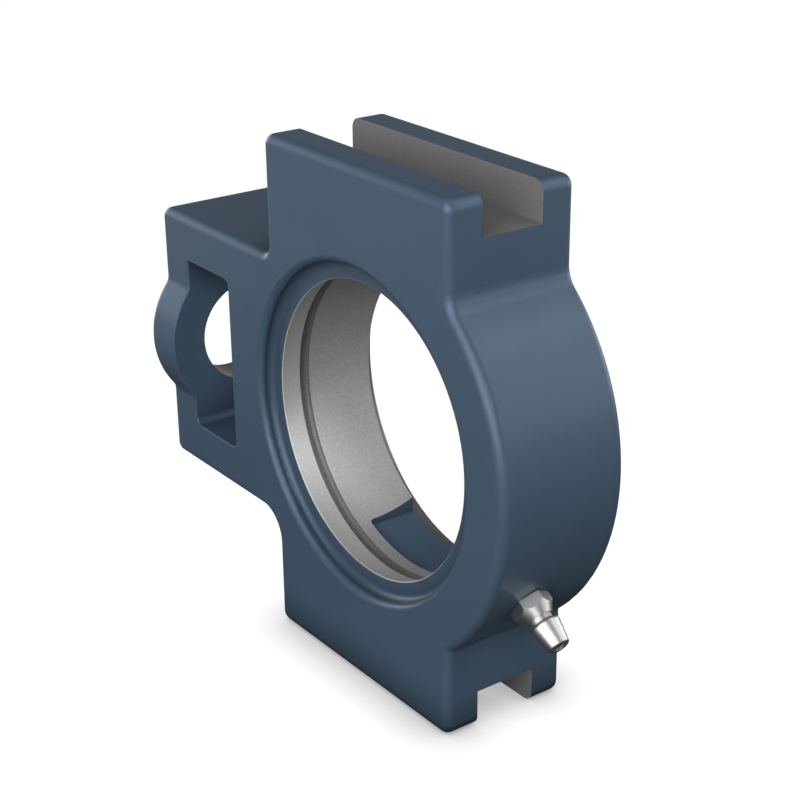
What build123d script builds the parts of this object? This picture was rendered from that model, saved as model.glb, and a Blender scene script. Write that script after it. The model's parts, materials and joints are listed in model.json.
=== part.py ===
from build123d import *
from math import cos, radians, sin, sqrt, tan
import os

# Take-up bearing housing, cast iron, with its grease nipple. Millimetres.
# The origin is the centre of the bearing seat. X is the sliding direction, with the
# screw end at -X, Y is the axis of the bearing, with the front face at -Y, and Z is up.

# Outline of the casting
casting_width = 28.0        # front face to back face
lug_length = 57.0           # guide slots, along X
slot_floor_distance = 89.0  # floor of the upper guide slot to floor of the lower one
slot_width = 13.3
slot_depth = 7.6
ring_radius = 44.0          # round end, about the bearing's axis
screw_face_distance = 70.0  # bearing's axis to the end face
end_block_height = 56.0
edge_rounding = 1.8
corner_rounding = 2.2       # outer corners of the outline
ring_blend_upper = 5.0      # ring into the upper lug
ring_blend_lower = 1.2
block_blend_upper = 2.2     # end block into the upper lug
block_blend_lower = 6.0

# Screw end
screw_wall = 10.0
nut_window_length = 16.0
nut_window_height = 37.0
window_corner = 1.5
window_foot = 1.6           # foot of the screw wall inside the window
window_rim = 0.3
boss_radius = 18.5
boss_blend = 2.4
screw_hole_radius = 11.0

# Bearing seat
seat_radius = 31.35         # sphere about the origin
front_recess_depth = 3.0
front_recess_radius = 33.1
front_recess_rounding = 1.3
back_recess_depth = 3.6
back_recess_radius = 33.5
back_recess_rounding = 1.3
recess_fillet = 1.4
lip_break = 0.15            # chamfer where the seat meets a recess, front and back
groove_place = -4.75        # middle of the grease groove, from the middle of the seat
groove_width = 2.5
groove_depth = 1.0
loading_slot_width = 29.4
loading_slot_radius = 32.5
loading_slot_stop = -0.6    # where the loading slots end, just before the middle
loading_slot_corner = 0.8

# Grease nipple and its hole, square to the ring's surface
nipple_angle = -31.0        # from +X, in the plane of the outline
nipple_place = -2.4         # from the middle of the ring's width, towards the front face
thread_radius = 3.0
thread_length = 6.0
thread_chamfer = 0.6
thread_clearance = 0.04
tapped_depth = 7.5
grease_duct_radius = 1.3
hex_size = 7.0              # across flats
hex_height = 2.36           # at the middle of a flat
hex_turn = 27.0             # a corner of the hexagon, from the Y direction
hex_cone_height = 1.46      # from the hexagon's flats out to its end face
hex_cone_radius = 2.53      # small end of that cone
neck_radius = 2.28
neck_length = 1.05          # from the hexagon to the back of the head
head_back_radius = 2.62     # where the rounded back of the head starts
head_radius = 2.98
head_shoulder = 0.88        # along the axis, back of the head to its widest place
head_length = 5.33
head_tip_radius = 2.2
head_tip_rounding = 0.55
nipple_bore_radius = 1.5
crimp_radius = 0.8          # end of the bore, closed in to hold the spring
crimp_length = 1.2
mouth_radius = 1.0
mouth_depth = 0.5
ball_radius = 1.42
ball_seat_angle = 45.0      # seat cone, from the axis
ball_clearance = 0.03
spring_wire = 0.35
spring_coil_radius = 1.1    # middle of the wire
spring_turns = 7.0
spring_clearance = 0.03     # at both ends

cut_margin = 5.0            # how far the cutting shapes run past the faces they open

half_width = casting_width / 2
half_lug = lug_length / 2
slot_floor = slot_floor_distance / 2
lug_top = slot_floor + slot_depth
half_block = end_block_height / 2
wall_inner_face = -screw_face_distance + screw_wall
window_far_face = wall_inner_face + nut_window_length
front_lip = -half_width + front_recess_depth
back_lip = half_width - back_recess_depth
seat_front = front_lip + lip_break
seat_back = back_lip - lip_break

neck_start = hex_height + hex_cone_height
neck_end = neck_start + neck_length
nipple_tip = neck_end + head_length
seat_cone_end = nipple_tip - mouth_depth
seat_cone_slope = tan(radians(ball_seat_angle))
seat_cone_start = seat_cone_end - (nipple_bore_radius - mouth_radius) / seat_cone_slope
spring_ledge = -thread_length + crimp_length
ball_place = (
    seat_cone_end + mouth_radius / seat_cone_slope
    - (ball_radius + ball_clearance) / sin(radians(ball_seat_angle))
)
spring_on_ball = sqrt((ball_radius + spring_wire / 2) ** 2 - spring_coil_radius ** 2)


def seat_radius_at(y):
    """Radius of the spherical seat at a distance y from its middle."""
    return sqrt(seat_radius ** 2 - y ** 2)


def nearest_vertex(shape, x, z):
    """The vertex of an outline in the XZ plane that lies nearest to (x, z)."""
    return shape.vertices().sort_by_distance(Vector(x, 0, z))[0]


def casting_outline():
    """Front view: two lugs, the end block and the round end, with blended corners."""
    lugs = Rectangle(lug_length, 2 * lug_top)
    block = Pos(-screw_face_distance / 2, 0) * Rectangle(screw_face_distance, end_block_height)
    round_end = Circle(ring_radius) & Pos(ring_radius / 2, 0) * Rectangle(ring_radius, 2 * ring_radius)
    outline = Plane.XZ * Sketch((lugs + block + round_end).faces())
    ring_meets_lug = sqrt(ring_radius ** 2 - half_lug ** 2)
    corners = [
        (half_lug, ring_meets_lug, ring_blend_upper),
        (half_lug, -ring_meets_lug, ring_blend_lower),
        (-half_lug, half_block, block_blend_upper),
        (-half_lug, -half_block, block_blend_lower),
        (half_lug, lug_top, corner_rounding),
        (half_lug, -lug_top, corner_rounding),
        (-half_lug, lug_top, corner_rounding),
        (-half_lug, -lug_top, corner_rounding),
        (-screw_face_distance, half_block, corner_rounding),
        (-screw_face_distance, -half_block, corner_rounding),
    ]
    for x, z, radius in corners:
        outline = fillet(nearest_vertex(outline, x, z), radius)
    return outline


def casting_blank():
    """The outline at full width, with its front and back edges rounded."""
    blank = extrude(casting_outline(), half_width, both=True)
    by_depth = blank.edges().group_by(Axis.Y)
    return fillet(by_depth[0] + by_depth[-1], edge_rounding)


def screw_boss():
    """Boss round the screw hole, wider than the casting, as long as the screw wall."""
    meets_face = sqrt(boss_radius ** 2 - half_width ** 2)
    band = Rectangle(casting_width, 2 * (meets_face + 2 * boss_blend))
    section = Circle(boss_radius) + band
    inner_corners = [v for v in section.vertices() if abs(abs(v.Y) - meets_face) < boss_blend / 2]
    section = fillet(inner_corners, boss_blend)
    boss = extrude(Plane.YZ.offset(-screw_face_distance) * section, screw_wall)
    outer_edges = boss.edges().group_by(Axis.X)[0]
    return fillet(outer_edges, edge_rounding)


def nut_window():
    """The space for the nut, right through the end block, as a cutting shape."""
    middle = (wall_inner_face + window_far_face) / 2
    opening = Rectangle(nut_window_length, nut_window_height)
    opening = fillet(opening.vertices().group_by(Axis.X)[-1], window_corner)
    opening = fillet(opening.vertices().group_by(Axis.X)[0].sort_by(Axis.Y)[0], window_foot)
    return extrude(Plane.XZ * Pos(middle, 0) * opening, half_width + cut_margin, both=True)


def window_rim_edges(shape):
    """Edges of the nut window on the front and back faces, away from the screw wall."""
    def on_rim(edge):
        middle = edge.center(CenterOf.BOUNDING_BOX)
        size = edge.bounding_box().size
        in_face = abs(abs(middle.Y) - half_width) < 1e-3 and size.Y < 1e-3
        in_window = wall_inner_face + 1e-3 < middle.X < window_far_face + 1e-3
        return in_face and in_window and abs(middle.Z) < nut_window_height / 2 + 1e-3
    return [edge for edge in shape.edges() if on_rim(edge)]


def bore_profile():
    """Half section of everything turned in the bore: recesses, lips, seat and groove."""
    groove_front = groove_place - groove_width / 2
    groove_back = groove_place + groove_width / 2
    groove_floor = seat_radius_at(groove_place) + groove_depth
    front = -half_width - cut_margin
    back = half_width + cut_margin
    front_corner = front_recess_radius - recess_fillet
    back_corner = back_recess_radius - recess_fillet
    diagonal = recess_fillet * (1 - sqrt(0.5))

    def seat_arc(y_from, y_to):
        y_middle = (y_from + y_to) / 2
        return ThreePointArc(
            (seat_radius_at(y_from), y_from),
            (seat_radius_at(y_middle), y_middle),
            (seat_radius_at(y_to), y_to),
        )

    lines = [
        Polyline(
            (0, front),
            (front_recess_radius, front),
            (front_recess_radius, front_lip - recess_fillet),
        ),
        ThreePointArc(
            (front_recess_radius, front_lip - recess_fillet),
            (front_recess_radius - diagonal, front_lip - diagonal),
            (front_corner, front_lip),
        ),
        Polyline(
            (front_corner, front_lip),
            (seat_radius_at(seat_front) + lip_break, front_lip),
            (seat_radius_at(seat_front), seat_front),
        ),
        seat_arc(seat_front, groove_front),
        ThreePointArc(
            (seat_radius_at(groove_front), groove_front),
            (groove_floor, groove_place),
            (seat_radius_at(groove_back), groove_back),
        ),
        seat_arc(groove_back, seat_back),
        Polyline(
            (seat_radius_at(seat_back), seat_back),
            (seat_radius_at(seat_back) + lip_break, back_lip),
            (back_corner, back_lip),
        ),
        ThreePointArc(
            (back_corner, back_lip),
            (back_recess_radius - diagonal, back_lip + diagonal),
            (back_recess_radius, back_lip + recess_fillet),
        ),
        Polyline(
            (back_recess_radius, back_lip + recess_fillet),
            (back_recess_radius, back),
            (0, back),
            (0, front),
        ),
    ]
    return make_face(Wire(Curve(lines).edges()))


def bore():
    """Bore, seat and recesses as one turned cutting shape."""
    return revolve(bore_profile(), Axis.Y)


def loading_slots():
    """The two slots, top and bottom, that let a bearing in sideways from the back."""
    length = half_width + cut_margin - loading_slot_stop
    middle = loading_slot_stop + length / 2
    drum = Rot(90, 0, 0) * Cylinder(loading_slot_radius, length)
    slab = Box(loading_slot_width, length, 2 * (loading_slot_radius + cut_margin))
    corners = slab.edges().filter_by(Axis.Z).group_by(Axis.Y)[0]
    return Pos(0, middle, 0) * (drum & fillet(corners, loading_slot_corner))


def guide_slots():
    """The two machined slots that run on the rails of the take-up frame."""
    height = slot_depth + cut_margin
    cutter = Box(lug_length + 2 * cut_margin, slot_width, height)
    offset = slot_floor + height / 2
    return Pos(0, 0, offset) * cutter + Pos(0, 0, -offset) * cutter


def nipple_plane():
    """Plane on the ring's surface where the nipple sits, its normal pointing outwards."""
    out = Vector(cos(radians(nipple_angle)), 0, sin(radians(nipple_angle)))
    foot = out * ring_radius + Vector(0, nipple_place, 0)
    return Plane(origin=foot, x_dir=(0, 1, 0), z_dir=out)


def grease_passage():
    """Tapped hole for the nipple and the slanting duct from its bottom to the groove."""
    seat = nipple_plane()
    hole_radius = thread_radius + thread_clearance
    tapped = extrude(seat.offset(-tapped_depth) * Circle(hole_radius), tapped_depth + cut_margin)
    duct_start = seat.from_local_coords(Vector(0, 0, -tapped_depth + grease_duct_radius))
    groove_point = seat.z_dir * seat_radius_at(groove_place) + Vector(0, groove_place, 0)
    along = groove_point - duct_start
    duct = extrude(Plane(origin=duct_start, z_dir=along) * Circle(grease_duct_radius), along.length)
    return tapped + duct


def rim_edges(shape, y, radius):
    """The round edges of a given radius, about the bearing's axis, at depth y."""
    circles = shape.edges().filter_by(GeomType.CIRCLE)
    return [
        edge for edge in circles
        if abs(edge.radius - radius) < 1e-3 and abs(edge.center(CenterOf.BOUNDING_BOX).Y - y) < 1e-3
    ]


def housing():
    """The whole casting after machining."""
    body = casting_blank() + screw_boss()
    body -= nut_window()
    body = fillet(window_rim_edges(body), window_rim)
    body -= bore()
    body = fillet(rim_edges(body, -half_width, front_recess_radius), front_recess_rounding)
    body = fillet(rim_edges(body, half_width, back_recess_radius), back_recess_rounding)
    body -= loading_slots()
    body -= guide_slots()
    screw_hole = Pos(-screw_face_distance, 0, 0) * Rot(0, 90, 0) * Cylinder(
        screw_hole_radius, 2 * screw_wall + cut_margin)
    body -= screw_hole
    body -= grease_passage()
    return body


def nipple_profile():
    """Half section of the nipple's turned outside, without its hexagon: radius and place
    along its axis, from the ring's surface outwards."""
    head_widest = neck_end + head_shoulder
    rounding_start = nipple_tip - head_tip_rounding
    bulge = sqrt(0.5)
    outline = [
        Polyline(
            (0, -thread_length),
            (thread_radius - thread_chamfer, -thread_length),
            (thread_radius, -thread_length + thread_chamfer),
            (thread_radius, hex_height),
            (neck_radius, hex_height),
            (neck_radius, neck_end),
            (head_back_radius, neck_end),
        ),
        ThreePointArc(
            (head_back_radius, neck_end),
            (
                head_back_radius + (head_radius - head_back_radius) * bulge,
                neck_end + head_shoulder * (1 - bulge),
            ),
            (head_radius, head_widest),
        ),
        Line((head_radius, head_widest), (head_tip_radius, rounding_start)),
        ThreePointArc(
            (head_tip_radius, rounding_start),
            (
                head_tip_radius - head_tip_rounding * (1 - bulge),
                nipple_tip - head_tip_rounding * (1 - bulge),
            ),
            (head_tip_radius - head_tip_rounding, nipple_tip),
        ),
        Polyline(
            (head_tip_radius - head_tip_rounding, nipple_tip),
            (0, nipple_tip),
            (0, -thread_length),
        ),
    ]
    return make_face(Wire(Curve(outline).edges()))


def nipple_passage():
    """The nipple's bore: closed-in end, spring chamber, ball seat and mouth."""
    section = Polyline(
        (0, -thread_length - cut_margin),
        (crimp_radius, -thread_length - cut_margin),
        (crimp_radius, spring_ledge),
        (nipple_bore_radius, spring_ledge),
        (nipple_bore_radius, seat_cone_start),
        (mouth_radius, seat_cone_end),
        (mouth_radius, nipple_tip + cut_margin),
        (0, nipple_tip + cut_margin),
        close=True,
    )
    return revolve(Plane.XZ * make_face(section), Axis.Z)


def hexagon():
    """The nipple's hexagon, its corners turned off by the cone that runs to its end face."""
    slope = (hex_size / 2 - hex_cone_radius) / hex_cone_height
    base_radius = hex_cone_radius + slope * neck_start
    prism = extrude(RegularPolygon(hex_size / 2, 6, major_radius=False, rotation=hex_turn), neck_start)
    return prism & Pos(0, 0, neck_start / 2) * Cone(base_radius, hex_cone_radius, neck_start)


def nipple_body():
    """Grease nipple, with a plain stem for its thread."""
    turned = revolve(Plane.XZ * nipple_profile(), Axis.Z)
    return nipple_plane().location * (turned + hexagon() - nipple_passage())


def nipple_ball():
    """Check ball, just clear of its seat below the mouth."""
    return nipple_plane().location * Pos(0, 0, ball_place) * Sphere(ball_radius)


def nipple_spring():
    """Compression spring between the closed-in end of the bore and the ball."""
    bottom = spring_ledge + spring_wire / 2 + spring_clearance
    top = ball_place - spring_on_ball - spring_clearance
    coil = Helix(pitch=(top - bottom) / spring_turns, height=top - bottom, radius=spring_coil_radius)
    wire_section = Plane(origin=coil @ 0, z_dir=coil % 0) * Circle(spring_wire / 2)
    return nipple_plane().location * Pos(0, 0, bottom) * sweep(wire_section, path=coil, is_frenet=True)


parts = {
    "housing": housing(),
    "nipple_body": nipple_body(),
    "nipple_ball": nipple_ball(),
    "nipple_spring": nipple_spring(),
}

os.makedirs("parts", exist_ok=True)
for name, shape in parts.items():
    shape.label = name
    export_step(shape, f"parts/{name}.step")
    box = shape.bounding_box()
    print(name, "valid", shape.is_valid, "volume", round(shape.volume, 2), "size", box.size)
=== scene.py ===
import bpy
import json
import math
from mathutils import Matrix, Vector


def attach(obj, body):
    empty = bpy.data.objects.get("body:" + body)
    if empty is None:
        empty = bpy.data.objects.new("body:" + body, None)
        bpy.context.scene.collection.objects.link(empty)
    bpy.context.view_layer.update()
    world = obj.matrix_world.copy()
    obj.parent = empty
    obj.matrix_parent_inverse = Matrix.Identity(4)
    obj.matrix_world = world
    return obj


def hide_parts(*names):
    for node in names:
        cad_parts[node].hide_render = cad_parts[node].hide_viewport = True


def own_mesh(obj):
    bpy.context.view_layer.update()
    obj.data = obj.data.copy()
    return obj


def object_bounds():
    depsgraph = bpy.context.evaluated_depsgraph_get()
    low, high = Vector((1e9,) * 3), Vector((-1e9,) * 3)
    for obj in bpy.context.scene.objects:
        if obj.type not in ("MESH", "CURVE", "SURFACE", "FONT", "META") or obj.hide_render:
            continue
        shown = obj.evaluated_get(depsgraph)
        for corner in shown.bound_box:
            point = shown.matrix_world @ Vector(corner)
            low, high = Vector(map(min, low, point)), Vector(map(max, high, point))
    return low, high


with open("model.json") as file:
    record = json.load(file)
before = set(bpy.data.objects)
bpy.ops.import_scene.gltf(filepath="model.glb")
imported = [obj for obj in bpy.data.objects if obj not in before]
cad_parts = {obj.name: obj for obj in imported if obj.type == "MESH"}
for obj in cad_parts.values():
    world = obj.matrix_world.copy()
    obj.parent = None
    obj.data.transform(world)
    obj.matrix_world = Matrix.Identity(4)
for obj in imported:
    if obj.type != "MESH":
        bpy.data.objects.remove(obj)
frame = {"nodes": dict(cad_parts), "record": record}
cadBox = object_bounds()
nodes = frame["nodes"]
mounts = {mount["name"]: mount for mount in frame["record"]["mounts"]}
print("frame loaded:", ", ".join(sorted(nodes)))

millimetre = 0.001


# Small helpers for shader nodes

def newMaterial(name):
    material = bpy.data.materials.new(name)
    material.use_nodes = True
    material.node_tree.nodes.clear()
    return material, material.node_tree


def addNode(tree, kind, inputs=None, **settings):
    node = tree.nodes.new(kind)
    for setting, value in settings.items():
        setattr(node, setting, value)
    for socket, value in (inputs or {}).items():
        if isinstance(value, bpy.types.NodeSocket):
            tree.links.new(value, node.inputs[socket])
        else:
            node.inputs[socket].default_value = value
    return node


def shadeBetween(tree, factor, low, high, lowAt=0.0, highAt=1.0):
    ramp = addNode(tree, "ShaderNodeValToRGB", {"Fac": factor})
    ramp.color_ramp.elements[0].position = lowAt
    ramp.color_ramp.elements[1].position = highAt
    ramp.color_ramp.elements[0].color = (*low, 1)
    ramp.color_ramp.elements[1].color = (*high, 1)
    return ramp.outputs["Color"]


def spread(tree, factor, low, high, lowAt=0.0, highAt=1.0):
    mapped = addNode(
        tree, "ShaderNodeMapRange",
        {"Value": factor, "From Min": lowAt, "From Max": highAt, "To Min": low, "To Max": high},
    )
    return mapped.outputs["Result"]


def noiseAt(tree, vector, size, detail=3.0, roughness=0.55):
    noise = addNode(
        tree, "ShaderNodeTexNoise",
        {"Vector": vector, "Scale": 1 / size, "Detail": detail, "Roughness": roughness},
    )
    return noise.outputs["Fac"]


def bumpOf(tree, height, relief, under=None):
    inputs = {"Height": height, "Distance": relief, "Strength": 1.0}
    if under is not None:
        inputs["Normal"] = under
    return addNode(tree, "ShaderNodeBump", inputs).outputs["Normal"]


def openness(tree, reach):
    # 1 in the open, less in corners and hollows
    return addNode(tree, "ShaderNodeAmbientOcclusion", {"Distance": reach}, samples=6).outputs["AO"]


def finishSurface(tree, colour, roughness, normal, metallic, specular, sheen=(1, 1, 1)):
    surface = addNode(
        tree, "ShaderNodeBsdfPrincipled",
        {"Base Color": colour, "Roughness": roughness, "Normal": normal,
         "Metallic": metallic, "Specular IOR Level": specular, "Specular Tint": (*sheen, 1)},
    )
    addNode(tree, "ShaderNodeOutputMaterial", {"Surface": surface.outputs["BSDF"]})


# Paint: a smooth blue-grey satin coat over sand-cast iron, which still shows faintly through it

paint = {
    "deep": (0.0498, 0.0808, 0.1196),
    "pale": (0.0534, 0.0866, 0.1282),
    "corner": (0.010, 0.015, 0.022),  # painted shade: darker in corners and hollows, where shade falls
    "cornerReach": 11 * millimetre,
    "cornerShare": (0.88, 0.0),
    "cornerFrom": (0.48, 0.95),
    "roughness": (0.30, 0.36),
    "specular": 0.49,
    "sheen": (0.615, 0.77, 1.0),
    "castGrain": 1.3 * millimetre,
    "fineGrain": 0.28 * millimetre,
    "mottle": 9 * millimetre,
    "mottleFrom": (0.3, 0.7),
    "castRelief": 0.020 * millimetre,
    "fineRelief": 0.004 * millimetre,
}


def makePaint(name):
    material, tree = newMaterial(name)
    place = addNode(tree, "ShaderNodeTexCoord").outputs["Object"]
    mottle = noiseAt(tree, place, paint["mottle"], 2.0)
    castGrain = noiseAt(tree, place, paint["castGrain"], 3.0)
    fineGrain = noiseAt(tree, place, paint["fineGrain"], 2.0)
    coat = shadeBetween(tree, mottle, paint["deep"], paint["pale"], *paint["mottleFrom"])
    # painted shade: ambient occlusion mixes the coat towards a dark colour in corners and hollows
    share = spread(tree, openness(tree, paint["cornerReach"]), *paint["cornerShare"], *paint["cornerFrom"])
    shaded = addNode(
        tree, "ShaderNodeMixRGB", {"Fac": share, "Color1": coat, "Color2": (*paint["corner"], 1)},
    )
    roughness = spread(tree, castGrain, *paint["roughness"])
    cast = bumpOf(tree, castGrain, paint["castRelief"])
    fine = bumpOf(tree, fineGrain, paint["fineRelief"], cast)
    finishSurface(
        tree, shaded.outputs["Color"], roughness, fine,
        metallic=0.0, specular=paint["specular"], sheen=paint["sheen"],
    )
    return material


# Bare machined iron: fine tool marks that run round an axis or along it

machinedIron = {
    "turned": {"dark": (0.30, 0.30, 0.297), "light": (0.38, 0.38, 0.377), "metallic": 0.48},
    # the land's lighter tone is a painted reflection: a lit copy of the turned iron
    "edge": {"dark": (0.36, 0.36, 0.357), "light": (0.44, 0.44, 0.437), "metallic": 0.35},
    # the groove's dark tone is painted shade, for a groove that lies deep in shade
    "groove": {"dark": (0.09, 0.088, 0.085), "light": (0.14, 0.138, 0.134), "metallic": 0.30},
    "milled": {"dark": (0.145, 0.145, 0.143), "light": (0.175, 0.175, 0.173), "metallic": 0.14},
    "roughness": (0.40, 0.50),
    "specular": 0.5,
    "markWidth": 0.16 * millimetre,
    "markLength": 14 * millimetre,
    "pore": 0.5 * millimetre,
    "poreFrom": (0.30, 0.62),
    "markRelief": 0.006 * millimetre,
    "poreRelief": 0.010 * millimetre,
}


def turnedPlace(tree, place, axis):
    # marks round the axis become straight bands of radius and of place along the axis
    split = addNode(tree, "ShaderNodeSeparateXYZ", {"Vector": place})
    along = split.outputs[axis]
    across = [split.outputs[name] for name in "XYZ" if name != axis]
    squares = [addNode(tree, "ShaderNodeMath", {0: side, 1: side}, operation="MULTIPLY").outputs[0]
               for side in across]
    total = addNode(tree, "ShaderNodeMath", {0: squares[0], 1: squares[1]}, operation="ADD")
    radius = addNode(tree, "ShaderNodeMath", {0: total.outputs[0]}, operation="SQRT")
    joined = addNode(tree, "ShaderNodeCombineXYZ", {"X": radius.outputs[0], "Y": along})
    return joined.outputs["Vector"]


def milledPlace(tree, place):
    # squeezed along X, so that marks are long in the direction of the guide slots
    squeeze = machinedIron["markWidth"] / machinedIron["markLength"]
    scaled = addNode(tree, "ShaderNodeMapping", {"Vector": place, "Scale": (squeeze, 1, 1)})
    return scaled.outputs["Vector"]


def makeMachined(name, cut, axis=None):
    material, tree = newMaterial(name)
    iron = machinedIron[cut]
    place = addNode(tree, "ShaderNodeTexCoord").outputs["Object"]
    toolPlace = turnedPlace(tree, place, axis) if axis else milledPlace(tree, place)
    marks = noiseAt(tree, toolPlace, machinedIron["markWidth"], 2.0)
    pores = noiseAt(tree, place, machinedIron["pore"], 4.0, 0.7)
    colour = shadeBetween(tree, pores, iron["dark"], iron["light"], *machinedIron["poreFrom"])
    roughness = spread(tree, marks, *machinedIron["roughness"])
    grooved = bumpOf(tree, marks, machinedIron["markRelief"])
    pitted = bumpOf(tree, pores, machinedIron["poreRelief"], grooved)
    finishSurface(
        tree, colour, roughness, pitted, metallic=iron["metallic"], specular=machinedIron["specular"],
    )
    return material


# Plated steel of the nipple, its ball and its spring

steel = {
    "nippleDark": (0.46, 0.46, 0.455),
    "nippleLight": (0.55, 0.55, 0.545),
    "nippleRoughness": (0.34, 0.42),
    "ballDark": (0.50, 0.50, 0.51),
    "ballLight": (0.60, 0.60, 0.61),
    "ballRoughness": (0.08, 0.14),
    "wireDark": (0.30, 0.30, 0.31),
    "wireLight": (0.42, 0.42, 0.43),
    "wireRoughness": (0.28, 0.42),
    "grain": 0.35 * millimetre,
    "grainFrom": (0.3, 0.7),
    "relief": 0.0005 * millimetre,
}


def makeSteel(name, finish):
    material, tree = newMaterial(name)
    place = addNode(tree, "ShaderNodeTexCoord").outputs["Object"]
    grain = noiseAt(tree, place, steel["grain"], 3.0)
    colour = shadeBetween(tree, grain, steel[finish + "Dark"], steel[finish + "Light"], *steel["grainFrom"])
    roughness = spread(tree, grain, *steel[finish + "Roughness"])
    worn = bumpOf(tree, grain, steel["relief"])
    finishSurface(tree, colour, roughness, worn, metallic=1.0, specular=0.5)
    return material


# Which faces of the casting are bare: found from their place, in metres

bareFaces = {
    "slotHalfWidth": 6.65 * millimetre,
    "slotFloor": abs(mounts["upper_guide_slot"]["pos_m"][2]),
    "screwHoleRadius": mounts["adjusting_screw_hole"]["dims"]["r_mm"] * millimetre,
    "screwWallInner": mounts["nut_face"]["pos_m"][0],
    "seatRadius": 31.35 * millimetre,
    "seatDepth": 1.3 * millimetre,  # how far the groove goes behind the seat
    "frontLip": -11.0 * millimetre,
    "groove": (-6.0 * millimetre, -3.5 * millimetre),
    "backLip": 10.4 * millimetre,
    "backRecessRadius": 33.5 * millimetre,
    "wallRounding": 1.2 * millimetre,
    "wallInward": 0.03,  # least turn of the wall's roundings towards the bore
    "loadingSlotHalfWidth": 14.7 * millimetre,
    "loadingSlotStop": -0.6 * millimetre,
    "tolerance": 0.03 * millimetre,
}


def isGuideSlot(middle):
    near = bareFaces["tolerance"]
    return (abs(middle.y) < bareFaces["slotHalfWidth"] + near
            and abs(middle.z) > bareFaces["slotFloor"] - near)


def isScrewHole(middle):
    near = bareFaces["tolerance"]
    return (math.hypot(middle.y, middle.z) < bareFaces["screwHoleRadius"] + near
            and middle.x < bareFaces["screwWallInner"])


def isSeat(middle):
    near = bareFaces["tolerance"]
    fromMiddle = middle.length
    inLoadingSlot = (abs(middle.x) < bareFaces["loadingSlotHalfWidth"] + near
                     and middle.y > bareFaces["loadingSlotStop"] - near
                     and fromMiddle > bareFaces["seatRadius"] + near)
    return (bareFaces["frontLip"] + near < middle.y < bareFaces["backLip"] - near
            and not inLoadingSlot and fromMiddle < bareFaces["seatRadius"] + bareFaces["seatDepth"])


def isBackWall(middle, normal):
    near = bareFaces["tolerance"]
    radius = math.hypot(middle.x, middle.z)
    if radius == 0 or middle.y < bareFaces["backLip"] + near:
        return False
    inward = -(middle.x * normal.x + middle.z * normal.z) / radius
    wallEnd = bareFaces["backRecessRadius"] + bareFaces["wallRounding"]
    return inward > bareFaces["wallInward"] and radius < wallEnd


def finishOf(middle, normal):
    grooveFront, grooveBack = bareFaces["groove"]
    if isGuideSlot(middle):
        return "milledSlotIron"
    if isScrewHole(middle):
        return "boredHoleIron"
    if isBackWall(middle, normal):
        return "grooveIronPaintedShade"  # painted shade: the back recess wall gets the groove's dark iron, as it lies in shade
    if not isSeat(middle):
        return "blueGreyPaint"
    # painted reflection: the land in front of the groove gets a lighter copy of the turned iron
    if middle.y < grooveFront:
        return "turnedEdgeIronPaintedLight"
    return "grooveIronPaintedShade" if middle.y < grooveBack else "turnedSeatIron"


def dressHousing():
    housing = nodes["housing"].data
    housing.materials.clear()
    finishes = (
        makePaint("blueGreyPaint"),
        makeMachined("turnedSeatIron", "turned", "Y"),
        makeMachined("boredHoleIron", "turned", "X"),
        makeMachined("milledSlotIron", "milled"),
        makeMachined("turnedEdgeIronPaintedLight", "edge", "Y"),
        makeMachined("grooveIronPaintedShade", "groove", "Y"),
    )
    for material in finishes:
        housing.materials.append(material)
    slots = {material.name: slot for slot, material in enumerate(finishes)}
    counts = dict.fromkeys(slots, 0)
    for face in housing.polygons:
        finish = finishOf(face.center, face.normal)
        face.material_index = slots[finish]
        counts[finish] += 1
    print("casting dressed, faces of each finish:", counts)


def dressNode(node, material):
    mesh = nodes[node].data
    mesh.materials.clear()
    mesh.materials.append(material)


dressHousing()
dressNode("nipple_body", makeSteel("platedNippleSteel", "nipple"))
dressNode("nipple_ball", makeSteel("polishedBallSteel", "ball"))
dressNode("nipple_spring", makeSteel("drawnSpringWire", "wire"))
print("nipple, ball and spring dressed")


# Spring: a copy of the CAD's rigid spring on the casting's body, in place of the hidden
# original. Check spring: stands for the CAD's rigid spring

def makeSpring():
    coil = bpy.data.objects.new("checkSpring", nodes["nipple_spring"].data.copy())
    bpy.context.scene.collection.objects.link(coil)
    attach(coil, "casting")
    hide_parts("nipple_spring")
    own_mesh(coil)


makeSpring()
print("spring made")


# Floor: white, with a soft shadow round the lug that stands on it

floor = {
    "level": cadBox[0].z,
    "halfSize": 12.0,
    "contactReach": 0.010,
    # each: colour, least and full glow
    "bounced": ((0.04, 0.04, 0.04), (0.0, 0.0)),
    "mirrored": ((0.04, 0.04, 0.04), (0.01, 0.33)),
    "seen": ((0.06, 0.06, 0.06), (0.20, 1.0)),
    "mirroredFrom": (0.14, 0.28),  # the glow in gloss grows over this distance from the part: a painted shadow of the part in the floor's reflections
    "cloud": 0.2,
    "cloudShade": 0.99,
}


def seenInGloss(tree):
    rays = addNode(tree, "ShaderNodeLightPath").outputs
    either = {0: rays["Is Glossy Ray"], 1: rays["Is Transmission Ray"]}
    return addNode(tree, "ShaderNodeMath", either, operation="MAXIMUM").outputs[0]


def seenByCamera(tree):
    return addNode(tree, "ShaderNodeLightPath").outputs["Is Camera Ray"]


def choose(tree, factor, otherwise, chosen):
    return addNode(
        tree, "ShaderNodeMixShader", {0: factor, 1: otherwise.outputs[0], 2: chosen.outputs[0]},
    )


def floorLook(tree, cloud, share, look):
    colour, glow = floor[look]
    tone = shadeBetween(tree, cloud, [part * floor["cloudShade"] for part in colour], colour)
    matte = addNode(tree, "ShaderNodeBsdfDiffuse", {"Color": tone})
    lift = spread(tree, share, *glow)
    shining = addNode(tree, "ShaderNodeEmission", {"Color": (1, 1, 1, 1), "Strength": lift})
    return addNode(tree, "ShaderNodeAddShader", {0: matte.outputs[0], 1: shining.outputs[0]})


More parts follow.
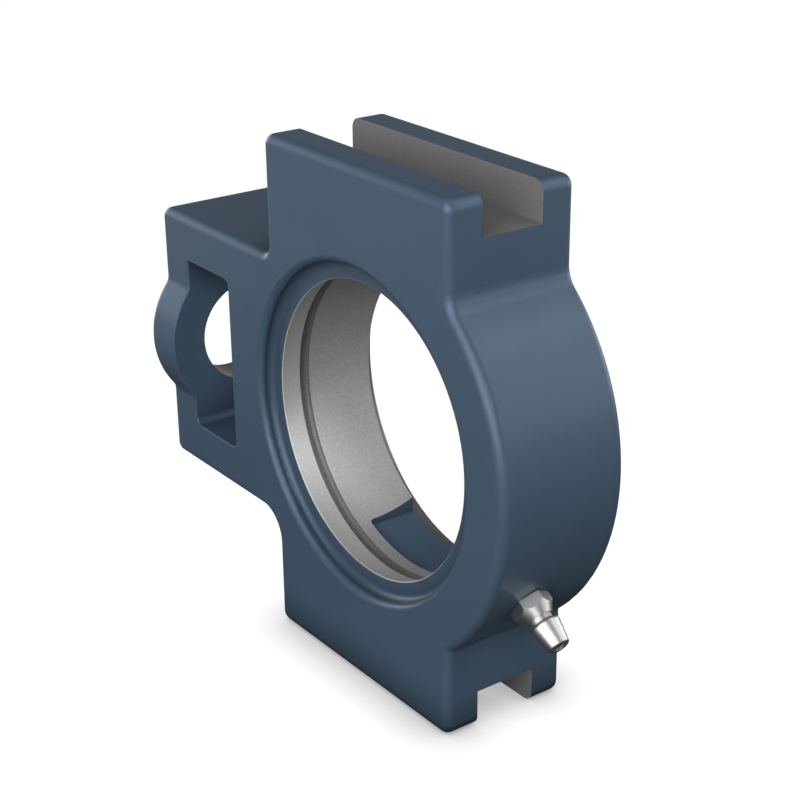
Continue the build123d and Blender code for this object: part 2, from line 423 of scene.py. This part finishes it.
def makeStudioWhite():
    material, tree = newMaterial("studioWhite")
    place = addNode(tree, "ShaderNodeTexCoord").outputs["Object"]
    cloud = noiseAt(tree, place, floor["cloud"])
    distance = addNode(tree, "ShaderNodeVectorMath", {0: place}, operation="LENGTH").outputs["Value"]
    # painted shadow in reflections: the floor seen in gloss glows less near the part
    far = spread(tree, distance, 0.0, 1.0, *floor["mirroredFrom"])
    bounced = floorLook(tree, cloud, far, "bounced")
    mirrored = floorLook(tree, cloud, far, "mirrored")
    # painted shadow: the floor's glow seen by the camera drops where ambient occlusion finds the part close
    seen = floorLook(tree, cloud, openness(tree, floor["contactReach"]), "seen")
    shown = choose(tree, seenByCamera(tree), choose(tree, seenInGloss(tree), bounced, mirrored), seen)
    addNode(tree, "ShaderNodeOutputMaterial", {"Surface": shown.outputs[0]})
    return material


def makeFloor():
    half, level = floor["halfSize"], floor["level"]
    corners = [(-half, -half, level), (half, -half, level), (half, half, level), (-half, half, level)]
    mesh = bpy.data.meshes.new("studioFloor")
    mesh.from_pydata(corners, [], [(0, 1, 2, 3)])
    sheet = bpy.data.objects.new("studioFloor", mesh)
    bpy.context.scene.collection.objects.link(sheet)
    mesh.materials.append(makeStudioWhite())


makeFloor()
print("floor laid")


# Studio: softboxes round the part, a white backdrop that stands low behind them and a dim room above

studio = {
    "dome": 0.01,
    "backdrop": (0.52, 0.52, 0.52),
    "room": (0.02, 0.02, 0.02),
    "backdropTop": (0.15, 0.21),  # as the sine of the height
    # name, azimuth and elevation in degrees from the front, distance and side in metres, power in watts
    "lamps": (
        ("frontSoftbox", 15, 8, 1.0, 0.8, 6.8),
        ("cameraSoftbox", 50, 22, 1.0, 0.9, 7.4),
        ("frontHighSoftbox", 10, 50, 0.45, 0.3, 0.60),
        ("leftSoftbox", -80, 6, 1.0, 0.7, 3.4),
        ("backRightSoftbox", 135, 25, 1.0, 0.7, 2.2),
        ("backRightHighSoftbox", 140, 55, 1.0, 0.7, 1.9),
        ("backSoftbox", 165, 5, 1.0, 0.7, 4.2),
    ),
}


def makeWorld():
    world = bpy.data.worlds.new("studioRoom")
    bpy.context.scene.world = world
    world.use_nodes = True
    tree = world.node_tree
    tree.nodes.clear()
    place = addNode(tree, "ShaderNodeTexCoord").outputs["Generated"]
    height = addNode(tree, "ShaderNodeSeparateXYZ", {"Vector": place}).outputs["Z"]
    surround = shadeBetween(tree, height, studio["backdrop"], studio["room"], *studio["backdropTop"])
    lit = addNode(tree, "ShaderNodeBackground", {"Color": (1, 1, 1, 1), "Strength": studio["dome"]})
    mirrored = addNode(tree, "ShaderNodeBackground", {"Color": surround, "Strength": 1.0})
    seen = addNode(tree, "ShaderNodeBackground", {"Color": (1, 1, 1, 1), "Strength": 1.0})
    shown = choose(tree, seenByCamera(tree), choose(tree, seenInGloss(tree), lit, mirrored), seen)
    addNode(tree, "ShaderNodeOutputWorld", {"Surface": shown.outputs[0]})


def directionAt(azimuth, elevation):
    turn, rise = math.radians(azimuth), math.radians(elevation)
    return Vector((math.sin(turn) * math.cos(rise), -math.cos(turn) * math.cos(rise), math.sin(rise)))


def makeLamps():
    for name, azimuth, elevation, distance, size, power in studio["lamps"]:
        lamp = bpy.data.lights.new(name, "AREA")
        lamp.shape = "SQUARE"
        lamp.size = size
        lamp.energy = power
        holder = bpy.data.objects.new(name, lamp)
        direction = directionAt(azimuth, elevation)
        holder.location = direction * distance
        holder.rotation_euler = (-direction).to_track_quat("-Z", "Y").to_euler()
        holder.visible_camera = False
        bpy.context.scene.collection.objects.link(holder)


makeWorld()
makeLamps()
print("studio lit")


# Camera at the photograph's angle, fitted to the casting's edges

camera = {
    "azimuth": 52.5535,
    "elevation": 23.9306,
    "place": (0.24616, -0.18196, 0.13374),
    "focalPixels": 1742.59,
    "principalPoint": (441.29, 427.82),
    "imagePixels": 800,
    "sensor": 36.0,
    "clipStart": 0.01,
}


def makeCamera():
    lens = bpy.data.cameras.new("photoCamera")
    lens.sensor_width = camera["sensor"]
    lens.lens = camera["focalPixels"] * camera["sensor"] / camera["imagePixels"]
    middle = camera["imagePixels"] / 2
    lens.shift_x = (middle - camera["principalPoint"][0]) / camera["imagePixels"]
    lens.shift_y = (camera["principalPoint"][1] - middle) / camera["imagePixels"]
    lens.clip_start = camera["clipStart"]
    sightLine = -directionAt(camera["azimuth"], camera["elevation"])
    holder = bpy.data.objects.new("photoCamera", lens)
    holder.location = camera["place"]
    holder.rotation_euler = sightLine.to_track_quat("-Z", "Y").to_euler()
    bpy.context.scene.collection.objects.link(holder)
    bpy.context.scene.camera = holder


makeCamera()
bpy.context.scene.view_settings.view_transform = "Standard"
print("camera set")
